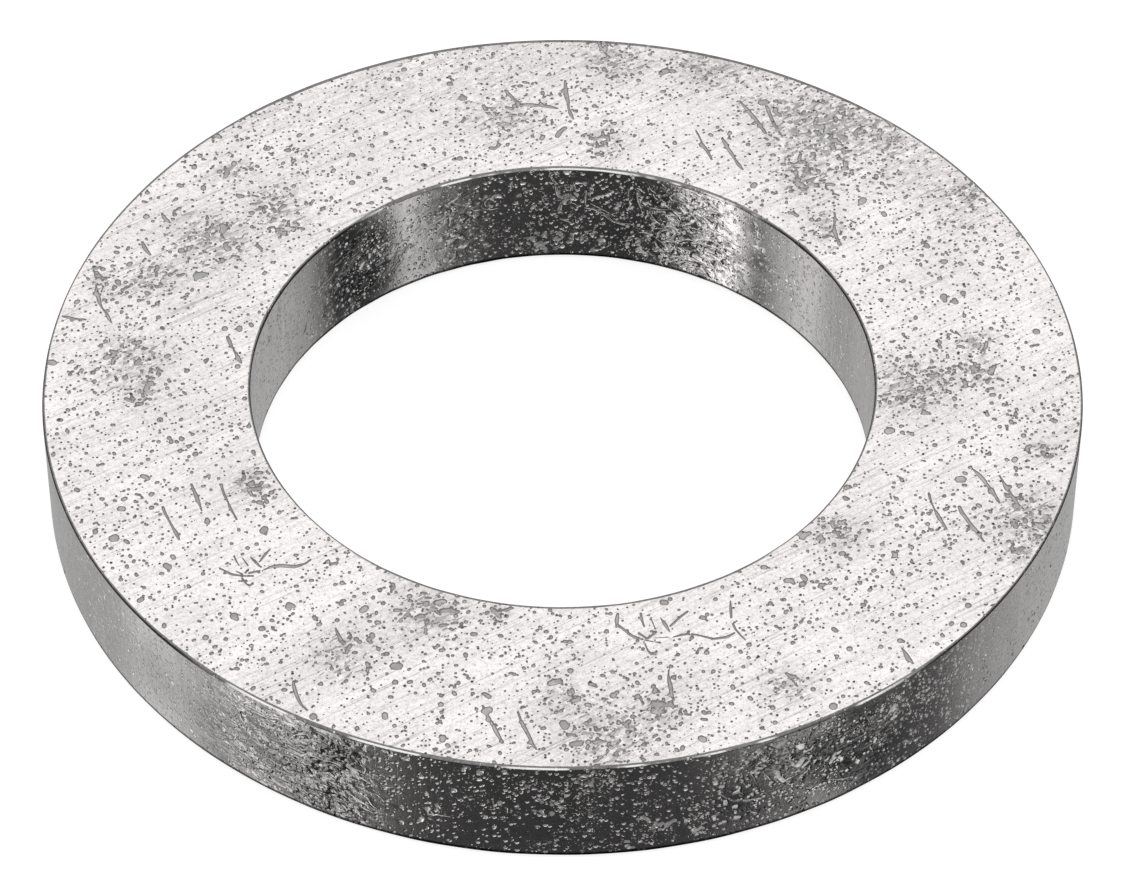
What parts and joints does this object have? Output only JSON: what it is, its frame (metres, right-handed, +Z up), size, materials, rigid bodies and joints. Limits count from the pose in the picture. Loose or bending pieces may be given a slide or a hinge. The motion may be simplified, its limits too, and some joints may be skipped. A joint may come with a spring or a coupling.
{
  "type": "flat washer",
  "caption": "Plain round flat washer with a central clearance hole, square-edged and thick for its width, that spreads the load under a screw head or nut.",
  "frame": {"origin": "centre of the hole, on the lower bearing face", "axes": "+Z runs up along the hole, square to the two bearing faces; X and Y lie in the lower face"},
  "size_m": [0.0088, 0.0088, 0.0011],
  "materials": {
    "steel": "bright tumbled steel with fine parallel brush lines, small pits, smudges and short scratches"
  },
  "bodies": {
    "root": {"flat_washer": "steel"}
  },
  "joints": []
}
